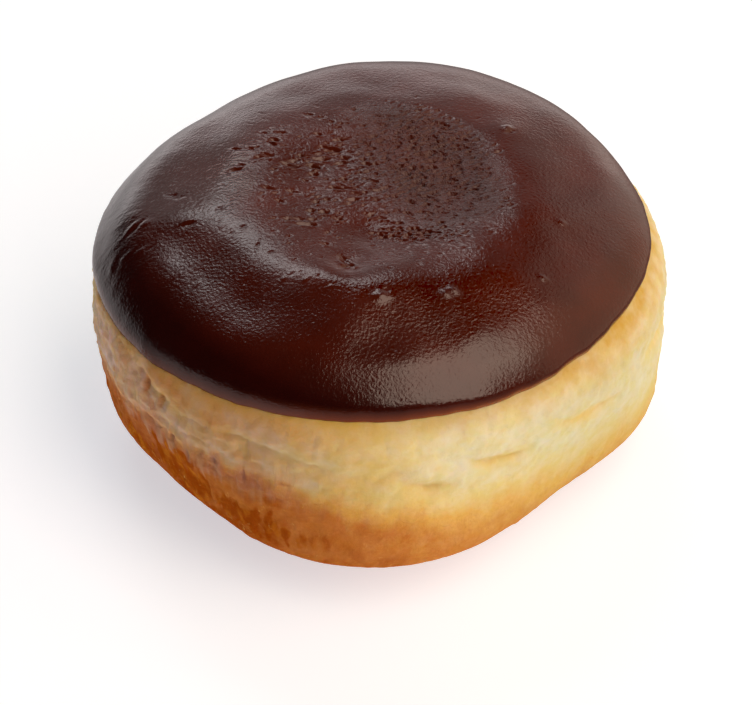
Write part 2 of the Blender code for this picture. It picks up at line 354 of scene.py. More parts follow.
def turned_profile():
    """Distances along the profile, radii and heights, from the foot's edge to the middle of the top."""
    run = smooth_run(
        ((FOOT_RADIUS, 0.0), SHOULDER, SIDE, WAIST, ICED, BROW, BRINK, CREST, DIP, (0.0, DIP[1])),
        SPLINE_STEPS,
    )
    steps = np.hypot(*np.diff(run, axis=0).T)
    return np.concatenate(([0.0], np.cumsum(steps))), run[:, 0], run[:, 1]


ALONG, RADII, HEIGHTS = turned_profile()
SIDE_POINTS = int(np.argmax(HEIGHTS)) + 1
MIDDLE = ALONG[-1]


def waves(lobes, azimuth):
    """The sum of cosine lobes round the plan."""
    return sum(size * np.cos(count * (azimuth - math.radians(at))) for count, size, at in lobes)


def smooth_body(azimuth, along):
    """Points of the body with its plan lobes and without its relief."""
    radius = np.interp(along, ALONG, RADII)
    height = np.interp(along, ALONG, HEIGHTS)
    low = np.maximum(0.0, 1 - height / WAIST[1])
    under = (1 - np.cos(math.pi * np.minimum(1.0, low / UNDERSIDE_SHARE))) / 2
    front = (1 - np.sin(azimuth)) / 2
    scale = 1 + waves(PLAN_LOBES, azimuth) + waves(UNDERSIDE_LOBES, azimuth) * under * front
    x = scale * radius * np.cos(azimuth) + low * FOOT_OFFSET[0]
    y = scale * radius * np.sin(azimuth) + low * FOOT_OFFSET[1]
    return np.stack((x, y, height), axis=-1)


def body_normals(azimuth, along):
    """Outward normals of the body without its relief."""
    turn = NUDGE / WAIST[0]
    lower = np.clip(along - NUDGE, 0.0, MIDDLE - NUDGE)
    upper = np.clip(along + NUDGE, NUDGE, MIDDLE - NUDGE / 2)
    inner = np.minimum(along, MIDDLE - NUDGE)
    up = smooth_body(azimuth, upper) - smooth_body(azimuth, lower)
    around = smooth_body(azimuth + turn, inner) - smooth_body(azimuth - turn, inner)
    normals = np.cross(around, up)
    return normals / np.linalg.norm(normals, axis=-1, keepdims=True)


def falloff(x, width):
    """1 at x = 0, fading to nothing over the width."""
    return np.exp(-((x / width) ** 2))


def smooth_step(low, high, x):
    """0 below low, 1 above high and a smooth ramp between them."""
    t = np.clip((x - low) / (high - low), 0.0, 1.0)
    return t * t * (3 - 2 * t)


def facing(azimuth, at):
    """1 where an azimuth faces the one given in degrees, fading to 0 a quarter turn away."""
    return np.clip(np.cos(azimuth - math.radians(at)), 0, 1)


def arc_length(azimuth, at):
    """Distance round the waist from an azimuth given in degrees."""
    return WAIST[0] * np.radians((np.degrees(azimuth) - at + 180) % 360 - 180)


def speckle(points, size, seed, stretch=(1.0, 1.0, 1.0), octaves=1):
    """Smooth random values of about -1 to 1 at each point, with lumps of the given size."""
    shift = Vector((seed * 1.7, seed * 2.3, seed * 3.1))
    scaled = points / (size * np.array(stretch))
    if octaves > 1:
        return np.array([noise.fractal(Vector(p) + shift, 0.6, 2.0, octaves) for p in scaled])
    return np.array([noise.noise(Vector(p) + shift) for p in scaled])


def fold_distance(azimuth, height):
    """For each fold, its fading strength and the height above its middle at each point."""
    turn = np.degrees(azimuth) % 360
    for start, end, low, high, sag, depth, width in FOLDS:
        share = ((turn - start) % 360) / (end - start)
        inside = share < 1
        bend = np.sin(math.pi * np.clip(share, 0, 1))
        middle = low + (high - low) * share - sag * bend
        yield np.where(inside, bend, 0.0), height - middle, depth, width


def fold_relief(azimuth, height):
    """How far the folds sink the surface, with the bulge above each fold."""
    relief = np.zeros_like(height)
    for fade, off, depth, width in fold_distance(azimuth, height):
        relief -= depth * fade * falloff(off, width)
        relief += 0.4 * depth * fade * falloff(off - 2.2 * width, 1.8 * width)
    return relief


def top_relief(points):
    """The swelling along the rim of the sunken top, and the pinches and knobs on it."""
    x, y = points[:, 0] - RIM_CENTRE_X, points[:, 1]
    swollen = facing(np.arctan2(y, x), RIM_SWELL_AZIMUTH) ** 1.5
    ring = falloff(np.hypot(x, y) - CREST[0] - 0.001, RIM_SWELL_WIDTH)
    relief = RIM_SWELL * swollen * ring
    for mark_x, mark_y, radius, height in TOP_MARKS:
        relief += height * falloff(np.hypot(points[:, 0] - mark_x, points[:, 1] - mark_y), radius)
    return relief


def body_relief(azimuth, points):
    """The relief that the dough and the icing share."""
    lumps = np.zeros(len(points))
    for size, height in LUMP_SIZES:
        shifted = (points + np.array(LUMP_SHIFT)) / size
        lumps += height * np.array([noise.noise(Vector(p)) for p in shifted])
    top = lumps + top_relief(points)
    side = lumps * np.minimum(1.0, points[:, 2] / SHOULDER[1]) + fold_relief(azimuth, points[:, 2])
    return np.where(points[:, 2] > BROW[1], top, side)


def icing_edge(azimuth):
    """How far along the profile the icing's lower edge lies."""
    height = ICING_EDGE_HEIGHT + waves(ICING_EDGE_WAVES, azimuth)
    ring = np.stack((np.cos(azimuth), np.sin(azimuth), np.zeros_like(azimuth)), axis=-1) * WAIST[0]
    height = height + EDGE_WANDER * speckle(ring, 0.007, 5.0) + EDGE_WANDER / 2 * speckle(ring, 0.0028, 6.0)
    return np.interp(height, HEIGHTS[:SIDE_POINTS], ALONG[:SIDE_POINTS])


def ring_quads(lower, upper, count):
    """Quads between two rings of the same number of points, given as their first vertex numbers."""
    i = np.arange(count)
    j = (i + 1) % count
    return np.stack((lower + i, lower + j, upper + j, upper + i), axis=-1)


def add_object(name, data):
    """A new object of the scene with the given mesh, light or camera."""
    made = bpy.data.objects.new(name, data)
    bpy.context.scene.collection.objects.link(made)
    return made


def new_piece(name, points, faces, finish, attributes, replaced):
    """A named, smooth-shaded piece that stands for a solid of the frame."""
    mesh = bpy.data.meshes.new(name)
    mesh.from_pydata(points.tolist(), [], faces)
    mesh.materials.append(finish)
    mesh.shade_smooth()
    for label, values in attributes.items():
        layer = mesh.attributes.new(label, "FLOAT", "POINT")
        layer.data.foreach_set("value", np.asarray(values, dtype=np.float32))
    piece = add_object(name, mesh)
    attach(piece, BODY)
    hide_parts(replaced)
    return piece


# Dough


def pocket_relief(azimuth, height):
    """The square torn pocket at the left of the front."""
    at, middle, half_wide, half_tall, depth = POCKET
    across = arc_length(azimuth, at)
    wide = smooth_step(half_wide, half_wide * 0.7, np.abs(across + 0.12 * (height - middle)))
    tall = smooth_step(half_tall, half_tall * 0.75, np.abs(height - middle))
    return wide * tall, depth


def slit_shape(azimuth, height):
    """The depth of the torn slits, and their strength for the painted shade that darkens them."""
    sunk, strength = np.zeros_like(height), np.zeros_like(height)
    for at, middle, half_wide, half_tall, depth in SLITS:
        away = (arc_length(azimuth, at) / half_wide) ** 2 + ((height - middle) / half_tall) ** 2
        shape = np.exp(-(away**1.5))
        sunk += depth * shape
        strength = np.maximum(strength, shape)
    return sunk, strength


def burn_strength(azimuth, height, streaks, blotches):
    """The darkest patches, with torn, toothed edges."""
    strength = np.zeros_like(height)
    for at, middle, half_wide, half_tall, darkest in BURNS:
        away = np.hypot(arc_length(azimuth, at) / half_wide, (height - middle) / half_tall)
        patch = smooth_step(1.60, 0.30, away + 0.60 * streaks + 0.50 * blotches)
        strength = np.maximum(strength, darkest * patch)
    return strength


def brown_line(azimuth, points):
    """Height of the line between the pale waist and the brown crust."""
    dip_azimuth, dip_width, dip = BROWN_LINE_DIP
    line = BROWN_LINE + waves(BROWN_LINE_WAVES, azimuth)
    line = line - dip * falloff(arc_length(azimuth, dip_azimuth), dip_width)
    line = line + 0.0016 * speckle(points, 0.011, 11.0, (1, 1, 3))
    return line + 0.0010 * speckle(points, 0.0032, 12.0, (1, 1, 4))


def toasting(azimuth):
    """How far the crust browned on each side: most at the left of the front, least at the right."""
    return TOASTED_MIDDLE + waves(TOASTED, azimuth)


def streak_share(azimuth):
    """Where the crust is torn into upright streaks: strongest at the left of the front."""
    return 0.25 + 0.75 * facing(azimuth, STREAKED_AZIMUTH) ** 2


def blister_relief(points, seed):
    """Little blisters and pits over the fried underside and shoulder."""
    dice = np.random.RandomState(seed)
    relief = np.zeros(len(points))
    low = np.nonzero(points[:, 2] < BLISTER_ZONE + 0.003)[0]
    spots = points[low]
    for _ in range(BLISTER_COUNT):
        centre = spots[dice.randint(len(spots))]
        radius = dice.uniform(0.0004, 0.0011)
        height = dice.choice((1.0, 1.0, -0.7)) * radius * dice.uniform(0.08, 0.16)
        near = np.linalg.norm((spots - centre) * (1.0, 1.0, 0.7), axis=1)
        relief[low] += height * falloff(near, radius)
    return relief


def dough_relief(azimuth, points):
    """All of the dough's relief, with the strengths of the painted shade in the folds and in the pocket."""
    height = points[:, 2]
    relief = body_relief(azimuth, points)
    grounded = np.minimum(1.0, height / SHOULDER[1])
    belt = smooth_step(BELT[0], BELT[1], height) * smooth_step(BELT[3], BELT[2], height)
    left = facing(azimuth, WRINKLED_AZIMUTH) ** 2
    # Strength of the painted shade along each fold's crease
    fold = np.zeros_like(height)
    for fade, off, depth, width in fold_distance(azimuth, height):
        wander = off + 0.0004 * speckle(points, 0.0025, 21.0)
        broken = smooth_step(-0.35, 0.25, speckle(points, 0.0050, 28.0))
        relief -= 0.00036 * (1 - 0.5 * left) * fade * broken * falloff(wander, 0.00050)
        fold = np.maximum(fold, fade * (0.80 * falloff(wander, 0.0015) + 0.20 * falloff(wander, 0.0005)))
    crumple = np.abs(speckle(points, 0.0060, 22.0, (1, 1, 0.5), 3))
    relief += belt * 0.00050 * (np.minimum(crumple, 0.35) - 0.2)
    relief += belt * left * 0.00028 * speckle(points, 0.0042, 23.0, (1, 1, 1.3), 3)
    relief += belt * 0.00016 * speckle(points, 0.0021, 26.0, (1, 1, 0.7), 2)
    streaks = speckle(points, 0.0016, 24.0, (1, 1, 5.5), 2)
    crust = smooth_step(0.007, 0.012, height) * (1 - belt * 0.4)
    relief += 0.00014 * streaks * streak_share(azimuth) * crust
    fibres = 1 - np.minimum(1.0, 6 * np.abs(speckle(points, 0.0027, 27.0, (1, 1, 3.5), 2)))
    torn = smooth_step(0.014, 0.018, height) * smooth_step(0.0330, 0.0300, height)
    relief += 0.00016 * fibres * left * torn
    relief -= slit_shape(azimuth, height)[0]
    relief += 0.00006 * speckle(points, 0.0013, 25.0, (1, 1, 1), 2) * grounded
    relief += blister_relief(points, BLISTER_SEED) * grounded
    pocket, depth = pocket_relief(azimuth, height)
    relief -= depth * pocket
    return relief, fold, pocket


def dough_browning(azimuth, points, streaks):
    """How brown the crust is, from 0 for pale dough to 0.66 for brown, with painted shade darkening the
    slits, and where it is darkest.
    """
    height = points[:, 2]
    toast = toasting(azimuth)
    depth = brown_line(azimuth, points) - height + 0.0016 * streaks * streak_share(azimuth)
    above, below = 0.0045 - 0.0020 * toast, np.maximum(0.0020, 0.0175 - 0.0190 * toast)
    reach = np.clip((depth + above) / (above + below), 0.0, 1.0)
    browning = (0.36 + 0.46 * toast) * reach * reach * (3 - 2 * reach)
    browning += 0.20 * smooth_step(0.0085, 0.0165, depth)
    tan = speckle(points, 0.0065, 33.0, (1, 1, 0.8), 3)
    browning += (0.24 * toast**3 + 0.01) * (1 + 0.9 * tan) * smooth_step(0.003, -0.003, depth)
    blotches = speckle(points, 0.0030, 31.0, (1, 1, 1.2), 3)
    browning += 0.12 * smooth_step(0.0, 0.5, blotches) * smooth_step(0.002, 0.006, depth) * toast
    burn = burn_strength(azimuth, height, streaks, blotches)
    # The slits are browned darker: painted shade in their hollows
    return browning + 0.10 * burn + 0.35 * slit_shape(azimuth, height)[1], burn


def waist_shade_tints(azimuth, height):
    """Strengths of the four tints of painted shade round the waist, above the crust: at the left, left of
    the front, at the front and at the right.
    """
    above = smooth_step(0.0160, 0.0230, height)
    rosy_shade = smooth_step(ROSY_SHADE[2], ROSY_SHADE[1], np.abs(arc_length(azimuth, ROSY_SHADE[0]))) * (0.65 + 0.35 * above)
    tawny_shade = falloff(arc_length(azimuth, TAWNY_SHADE[0]), TAWNY_SHADE[1]) * above
    honey_shade = falloff(arc_length(azimuth, HONEY_SHADE[0]), HONEY_SHADE[1]) * above
    right_shade = smooth_step(RIGHT_SHADE[2], RIGHT_SHADE[1], np.abs(arc_length(azimuth, RIGHT_SHADE[0])))
    right_shade = right_shade * smooth_step(0.0320, 0.0280, height)
    return {"rosy_shade": rosy_shade, "tawny_shade": tawny_shade, "honey_shade": honey_shade, "right_shade": right_shade}


def veil_strength(azimuth, height, streaks):
    """The pale torn skin that hangs over the crust at the left of the front."""
    side = facing(azimuth, VEILED_AZIMUTH) ** 3
    band = smooth_step(0.0170, 0.0198, height + 0.0022 * streaks) * smooth_step(0.0310, 0.0240, height)
    return side * band * np.clip(0.62 + 0.9 * streaks, 0, 1)


def gilding(azimuth, below):
    """The golden band just under the icing, by the distance below the icing's edge."""
    ring = np.stack((np.cos(azimuth), np.sin(azimuth), below * 0), axis=-1) * WAIST[0]
    reach = 0.0021 + 0.0009 * speckle(ring, 0.009, 41.0) + 0.0008 * speckle(ring, 0.0022, 42.0)
    side = facing(azimuth, GILDED_AZIMUTH) ** 2
    reach = reach * (0.8 + 1.9 * side)
    return (0.6 + 0.4 * side) * falloff(np.maximum(below, 0.0), np.maximum(reach, 0.0006))


def make_dough(sizes, finish):
    """The fried dough, flat underneath and sunk a little where the icing covers it."""
    count, rows, covered = sizes.dough_sectors, sizes.dough_rows, COVERED_ROWS
    around = np.arange(count) * 2 * math.pi / count
    edge = icing_edge(around)
    reach = edge + ICING_OVERLAP
    shares = np.concatenate((np.linspace(0, 1, rows), np.full(covered, 1.0)))
    inward = np.concatenate((np.zeros(rows), np.linspace(0.03, 0.985, covered)))
    azimuth = np.tile(around, rows + covered)
    along = (shares[:, None] * reach[None] + inward[:, None] * (MIDDLE - reach[None])).ravel()
    sunk = np.repeat(np.where(inward > 0, GAP, 0.0), count)
    points = smooth_body(azimuth, along)
    normals = body_normals(azimuth, along)
    relief, fold, pocket = dough_relief(azimuth, points)
    streaks = speckle(points, 0.0014, 51.0, (1, 1, 7), 2)
    browning, burn = dough_browning(azimuth, points, streaks)
    golden = gilding(azimuth, np.tile(edge, rows + covered) - along)
    shade_tints = waist_shade_tints(azimuth, points[:, 2])
    placed = points + normals * (relief - sunk)[:, None]
    placed[:count, 2] = 0.0
    placed = np.vstack((placed, placed[-count:].mean(axis=0)))
    total = rows + covered
    faces = [tuple(reversed(range(count)))]
    for row in range(total - 1):
        faces += ring_quads(row * count, (row + 1) * count, count).tolist()
    last = (total - 1) * count
    faces += [(last + i, last + (i + 1) % count, len(placed) - 1) for i in range(count)]
    # Masks for the colour; the fold, pocket and waist tint masks among them carry painted shade
    looks = {
        "browning": browning,
        "burn": burn,
        "fold": fold * (1 - 0.85 * np.maximum(shade_tints["rosy_shade"], shade_tints["tawny_shade"])),
        "pocket": pocket,
        "gilding": golden,
        "belt": smooth_step(0.0, 0.5, 1 - browning),
        "veil": veil_strength(azimuth, points[:, 2], streaks),
        **shade_tints,
    }
    attributes = {label: np.append(values, values[-1]) for label, values in looks.items()}
    return new_piece("fried_dough", placed, faces, finish, attributes, "dough")


# Icing


def square_ring_faces(rings):
    """Quads over a disc whose ring k has 8k points, so that they stay even in size from middle to edge."""
    faces = [(0, 1 + i, 1 + (i + 1) % 8) for i in range(8)]
    for ring in range(2, rings + 1):
        outer, inner = 1 + 4 * ring * (ring - 1), 1 + 4 * (ring - 1) * (ring - 2)
        outer_count, inner_count = 8 * ring, 8 * (ring - 1)
        for side in range(4):
            for step in range(1, 2 * ring - 1):
                a = side * 2 * ring + step
                b = side * 2 * (ring - 1) + step - 1
                faces.append((inner + b, outer + a, outer + a + 1, inner + (b + 1) % inner_count))
            corner = side * 2 * ring
            tip = side * 2 * (ring - 1)
            before = outer + (corner - 1) % outer_count
            faces.append((before, outer + corner, outer + corner + 1, inner + tip))
    return faces


def disc_points(rings):
    """Azimuths and shares of the way out for a disc whose ring k has 8k points."""
    azimuth, share = [np.zeros(1)], [np.zeros(1)]
    for ring in range(1, rings + 1):
        azimuth.append(np.arange(8 * ring) * 2 * math.pi / (8 * ring))
        share.append(np.full(8 * ring, ring / rings))
    return np.concatenate(azimuth), np.concatenate(share)


def mark_relief(points, marks):
    """Raised or sunken oval marks on the icing."""
    relief = np.zeros(len(points))
    for x, y, half_length, half_width, turn, height in marks:
        near = np.nonzero(np.abs(points[:, 0] - x) + np.abs(points[:, 1] - y) < 4 * half_length)[0]
        dx, dy = points[near, 0] - x, points[near, 1] - y
        c, s = math.cos(math.radians(turn)), math.sin(math.radians(turn))
        u, v = (c * dx + s * dy) / half_length, (c * dy - s * dx) / half_width
        relief[near] += height * np.exp(-(u * u + v * v))
    return relief


def pit_marks(seed):
    """The burst bubbles on the icing's top, with the rules of each field."""
    dice = np.random.RandomState(seed)
    marks = []
    for count, x, y, spread_x, spread_y, lengths, widths, depths in PIT_FIELDS:
        for _ in range(count):
            at_x, at_y = dice.normal(x, spread_x), dice.normal(y, spread_y)
            length, width = dice.uniform(*lengths), dice.uniform(*widths)
            turn, depth = dice.normal(0, PIT_TURN), dice.uniform(*depths)
            if math.hypot(at_x - RIM_CENTRE_X, at_y) > PLATEAU_RADIUS and lengths[1] > 0.0004:
                continue
            marks.append((at_x, at_y, length, width, turn, -depth))
            marks.append((at_x, at_y - 1.6 * width, length * 0.9, width, turn, 0.35 * depth))
    return marks


def icing_relief(points):
    """The relief of the icing's upper surface beyond the body's, with its pebbling for the finish."""
    x, y = points[:, 0], points[:, 1]
    relief = 0.00010 * speckle(points, 0.010, 61.0) + 0.00003 * speckle(points, 0.0035, 62.0)
    out = np.hypot(x - RIM_CENTRE_X, y)
    inside = smooth_step(PLATEAU_RADIUS + 0.002, PLATEAU_RADIUS - 0.004, out)
    pebbled = inside * smooth_step(-0.006, 0.004, x + 0.3 * (y - 0.004))
    pebbled = pebbled * smooth_step(-0.011, -0.002, y + 0.1 * x)
    relief += 0.00006 * pebbled * speckle(points, 0.00065, 63.0, (1.4, 1, 1))
    scuffed = facing(np.arctan2(y, x), SCUFFED_AZIMUTH) ** 4 * smooth_step(0.026, 0.034, out)
    relief += 0.00005 * scuffed * speckle(points, 0.0019, 64.0, (0.8, 1.2, 1), 3)
    relief += mark_relief(points, pit_marks(PIT_SEED)) + mark_relief(points, FINE_MARKS)
    return relief, np.maximum(pebbled, 0.25 * inside)


def lip_widths(azimuth, sizes):
    """The lip's width round the icing: widest at the left of the front."""
    return sizes.lip_width * (1 + LIP_SPREAD * facing(azimuth, LIP_SPREAD_AZIMUTH) ** 2)


def lip_lift(share, sizes):
    """The icing's height above the dough at a share of the lip's width in from its edge."""
    return sizes.icing_thickness * (LIP_FOOT + (1 - LIP_FOOT) * (1 - (1 - share) ** LIP_CURVE))


def top_along(share, start):
    """How far along the profile the points of the icing's top lie, closest together on its middle."""
    inner = MIDDLE - PLATEAU_RADIUS * share / PLATEAU_RINGS_SHARE
    outwards = np.clip((share - PLATEAU_RINGS_SHARE) / (1 - PLATEAU_RINGS_SHARE), 0.0, 1.0)
    spaced = 0.4 * outwards + 0.6 * outwards**1.5
    outer = MIDDLE - PLATEAU_RADIUS + (start - MIDDLE + PLATEAU_RADIUS) * spaced
    return np.where(share < PLATEAU_RINGS_SHARE, inner, outer)


def icing_underside(azimuth, edge):
    """Points of the icing's underside, sunk a little into the dough, from its edge inwards."""
    share = np.array(UNDERSIDE_RINGS)
    around = np.tile(azimuth, len(share))
    along = (edge[None] + share[:, None] * (MIDDLE - edge[None])).ravel()
    points = smooth_body(around, along)
    sunk = np.repeat(np.where(share == 0, 0.0002, 0.0001), len(azimuth))
    return points + body_normals(around, along) * (body_relief(around, points) - sunk)[:, None]


def make_icing(sizes, finish):
    """The chocolate icing: its top, its rounded lip and its underside."""
    rings = sizes.icing_rings
    azimuth, share = disc_points(rings)
    edge = icing_edge(azimuth)
    lip = lip_widths(azimuth, sizes)
    along = top_along(share, edge + lip)
    top_count, ring_count = len(azimuth), 8 * rings
    lip_share = 1 - np.array(LIP_RINGS)
    lip_azimuth = np.tile(azimuth[-ring_count:], len(lip_share))
    lip_along = (edge[-ring_count:][None] + lip_share[:, None] * lip[-ring_count:][None]).ravel()
    azimuth = np.concatenate((azimuth, lip_azimuth))
    along = np.concatenate((along, lip_along))
    points = smooth_body(azimuth, along)
    normals = body_normals(azimuth, along)
    normals[0] = (0.0, 0.0, 1.0)
    fine, pebbled = icing_relief(points)
    inward = np.concatenate((np.ones(top_count), np.repeat(lip_share, ring_count)))
    lift = lip_lift(inward, sizes) + fine * smooth_step(0.0, 1.0, inward)
    placed = points + normals * (body_relief(azimuth, points) + lift)[:, None]
    under = icing_underside(azimuth[-ring_count:], along[-ring_count:])
    placed = np.vstack((placed, under, under[-ring_count:].mean(axis=0)))
    faces = [tuple(face) for face in square_ring_faces(rings)]
    ring_start = top_count - ring_count
    total_rings = 1 + len(LIP_RINGS) + len(UNDERSIDE_RINGS)
    for ring in range(total_rings - 1):
        upper, lower = ring_start + ring * ring_count, ring_start + (ring + 1) * ring_count
        faces += ring_quads(lower, upper, ring_count).tolist()
    last = ring_start + (total_rings - 1) * ring_count
    faces += [(last + (i + 1) % ring_count, last + i, len(placed) - 1) for i in range(ring_count)]
    extra = len(placed) - len(pebbled)
    # Painted light: how far each point's colour is lit up, by how much its surface faces the key light
    painted_light = np.clip(normals @ np.array(PAINTED_LIGHT_SIDE) / PAINTED_LIGHT_FULL, 0.0, 1.0)
    reddened = 1 - 0.35 * facing(azimuth, LIP_SPREAD_AZIMUTH) ** 2
    attributes = {
        "pebbling": np.concatenate((pebbled, np.zeros(extra))),
        "thinning": np.concatenate(((1 - inward) * reddened, np.ones(extra))),
        "painted_light": np.concatenate((painted_light, np.zeros(extra))),
    }
    return new_piece("chocolate_icing", placed, faces, finish, attributes, "icing")


# Finishes


def solid(colour):
    """A colour with full alpha."""
    return (*colour, 1.0)


class NodeTree:
    """A small helper that adds and links the nodes of a world or a material."""

    def __init__(self, owner):
        owner.use_nodes = True
        self.tree = owner.node_tree

    def node(self, kind, inputs=None, **settings):
        """Add a node, set its settings and fill or link its inputs."""
        made = self.tree.nodes.new(kind)
        for name, value in settings.items():
            setattr(made, name, value)
        for name, value in (inputs or {}).items():
            self.fill(made.inputs[name], value)
        return made

    def fill(self, socket, value):
        """Link a socket to an output, or set its value."""
        if isinstance(value, bpy.types.NodeSocket):
            self.tree.links.new(value, socket)
        else:
            socket.default_value = value

    def math(self, operation, first, second=0.0):
        """A maths node's result."""
        made = self.node("ShaderNodeMath", operation=operation)
        self.fill(made.inputs[0], first)
        self.fill(made.inputs[1], second)
        return made.outputs["Value"]

    def plus(self, first, second):
        """The sum of two values."""
        return self.math("ADD", first, second)

    def times(self, first, second):
        """The product of two values."""
        return self.math("MULTIPLY", first, second)

    def spread(self, value, low, high, to_low=0.0, to_high=1.0):
        """A value's range mapped to another, smoothly and held at its ends."""
        inputs = {"Value": value, "From Min": low, "From Max": high, "To Min": to_low, "To Max": to_high}
        made = self.node("ShaderNodeMapRange", inputs, interpolation_type="SMOOTHSTEP")
        return made.outputs["Result"]

    def ramp(self, value, stops):
        """A colour that runs through (place, colour) stops."""
        made = self.node("ShaderNodeValToRGB", {"Fac": value})
        elements = made.color_ramp.elements
        while len(elements) < len(stops):
            elements.new(0.5)
        for element, (place, colour) in zip(elements, stops):
            element.position = place
            element.color = solid(colour)
        return made.outputs["Color"]

    def window(self, value, middle, half, soft):
        """1 within half of the middle and 0 from half + soft outwards, all in degrees."""
        off = self.math("ABSOLUTE", self.math("SUBTRACT", value, math.radians(middle)))
        return self.spread(off, math.radians(half), math.radians(half + soft), 1.0, 0.0)


class Finish(NodeTree):
    """A material and the nodes that colour it."""

    def __init__(self, name):
        self.material = bpy.data.materials.new(name)
        super().__init__(self.material)
        self.shader = self.tree.nodes["Principled BSDF"]
        self.coordinates = self.node("ShaderNodeTexCoord").outputs["Object"]

    def coat(self, surface):
        """Set or link the inputs of the material's surface."""
        for name, value in surface.items():
            self.fill(self.shader.inputs[name], value)

    def attribute(self, name):
        """The value of a point attribute."""
        return self.node("ShaderNodeAttribute", attribute_name=name).outputs["Fac"]

    def noise(self, size, detail=3.0, roughness=0.55, stretch=(1.0, 1.0, 1.0), distortion=0.0):
        """Noise with lumps of the given size in metres."""
        scale = tuple(1 / (size * s) for s in stretch)
        mapping = self.node("ShaderNodeMapping", {"Vector": self.coordinates, "Scale": scale})
        inputs = {
            "Vector": mapping.outputs["Vector"],
            "Scale": 1.0,
            "Detail": detail,
            "Roughness": roughness,
            "Distortion": distortion,
        }
        return self.node("ShaderNodeTexNoise", inputs).outputs["Fac"]

    def mix(self, share, first, second, blend="MIX"):
        """A mix of two colours."""
        made = self.node("ShaderNodeMix", data_type="RGBA", blend_type=blend)
        self.fill(made.inputs["Factor"], share)
        self.fill(made.inputs["A"], first)
        self.fill(made.inputs["B"], second)
        return next(out for out in made.outputs if out.enabled and out.type == "RGBA")

    def multiply(self, colour, channels):
        """A colour with its red, green and blue multiplied by three values."""
        factors = self.node("ShaderNodeCombineColor", dict(zip(("Red", "Green", "Blue"), channels)))
        return self.mix(1.0, colour, factors.outputs["Color"], "MULTIPLY")

    def bump(self, height, strength, distance, normal=None):
        """A bump node's normal."""
        inputs = {"Height": height, "Strength": strength, "Distance": distance}
        if normal is not None:
            inputs["Normal"] = normal
        return self.node("ShaderNodeBump", inputs).outputs["Normal"]


def dough_finish(colours):
    """Fried dough: a pale, soft waist between golden and brown crust."""
    f = Finish("fried_dough")
    wobble = f.math("SUBTRACT", f.noise(0.0034, 4.0, 0.6, (1, 1, 1.6)), 0.5)
    grain = f.math("SUBTRACT", f.noise(0.0007, 3.0, 0.6), 0.5)
    browning = f.attribute("browning")
    level = f.plus(browning, f.times(wobble, f.spread(browning, 0.1, 0.6, 0.13, 0.26)))
    level = f.plus(level, f.times(grain, f.spread(browning, 0.1, 0.6, 0.04, 0.14)))
    stops = (
        (0.02, colours.crumb),
        (0.17, colours.butter),
        (0.36, colours.gold),
        (0.66, colours.brown),
        (1.0, colours.dark),
    )
    colour = f.ramp(level, stops)
    # Painted shade round the waist, multiplied into the colour
    for tint in ("rosy_shade", "tawny_shade", "honey_shade", "right_shade"):
        colour = f.mix(f.attribute(tint), colour, solid(getattr(colours, tint)), "MULTIPLY")
    uneven = f.spread(f.noise(0.0028, 3.0), 0.25, 0.75, 0.62, 1.0)
    golden = f.times(f.attribute("gilding"), uneven)
    colour = f.mix(golden, colour, solid(colours.gilt))
    # Painted shade in the creases of the folds, in a darker yellow
    fold_shade = f.times(f.attribute("fold"), f.attribute("belt"))
    fold_shade = f.times(fold_shade, 0.85)
    colour = f.mix(fold_shade, colour, solid(colours.fold))
    colour = f.mix(f.times(f.attribute("veil"), 0.42), colour, solid(colours.veil))
    # Painted shade in the hollow of the torn pocket
    colour = f.mix(f.times(f.attribute("pocket"), 0.75), colour, solid(colours.pocket))
    torn_edge = f.math("SUBTRACT", f.noise(0.0017, 5.0, 0.62, (1, 1, 2.2)), 0.5)
    scorched = f.spread(f.plus(f.attribute("burn"), torn_edge), 0.32, 0.70, 0.0, 0.9)
    lighter = f.spread(f.noise(0.0022, 3.0, 0.6, (1, 1, 1.8)), 0.40, 0.70)
    charred = f.mix(lighter, solid(colours.dark), solid(colours.amber))
    colour = f.mix(scorched, colour, charred)
    flecks = f.spread(f.noise(0.0013, 5.0, 0.72, (1, 1, 1.4), 0.3), 0.60, 0.72)
    flecked = f.times(flecks, f.spread(browning, 0.42, 0.8, 0.0, 0.40))
    colour = f.mix(flecked, colour, solid(colours.flecks))
    mottle = f.noise(0.0036, 4.0, 0.62, (1, 1, 0.7))
    cream = [f.spread(mottle, 0.30, 0.70, low, high) for low, high in CREAM_MOTTLE]
    fibres = f.noise(0.0009, 3.0, 0.6, (1, 1, 4.0))
    crumbs = f.noise(0.00045, 4.0, 0.65)
    torn = f.plus(0.08, f.times(f.attribute("veil"), 0.8))
    normal = f.bump(fibres, torn, 0.00040)
    wrinkles = f.noise(0.0017, 4.0, 0.6, (1, 1, 0.6), 0.6)
    normal = f.bump(wrinkles, f.spread(browning, 0.1, 0.5, 0.30, 0.55), 0.00060, normal)
    rough_skin = f.spread(browning, 0.1, 0.5, 0.22, 0.60)
    surface = {
        "Base Color": f.multiply(colour, cream),
        "Roughness": f.spread(f.plus(level, f.noise(0.002, 2.0)), 0.5, 1.5, 0.62, 0.42),
        "Specular IOR Level": 0.0,
        "Subsurface Weight": 0.5,
        "Subsurface Radius": (1.0, 0.5, 0.2),
        "Subsurface Scale": 0.0022,
        "Normal": f.bump(crumbs, rough_skin, 0.00020, normal),
    }
    f.coat(surface)
    return f.material


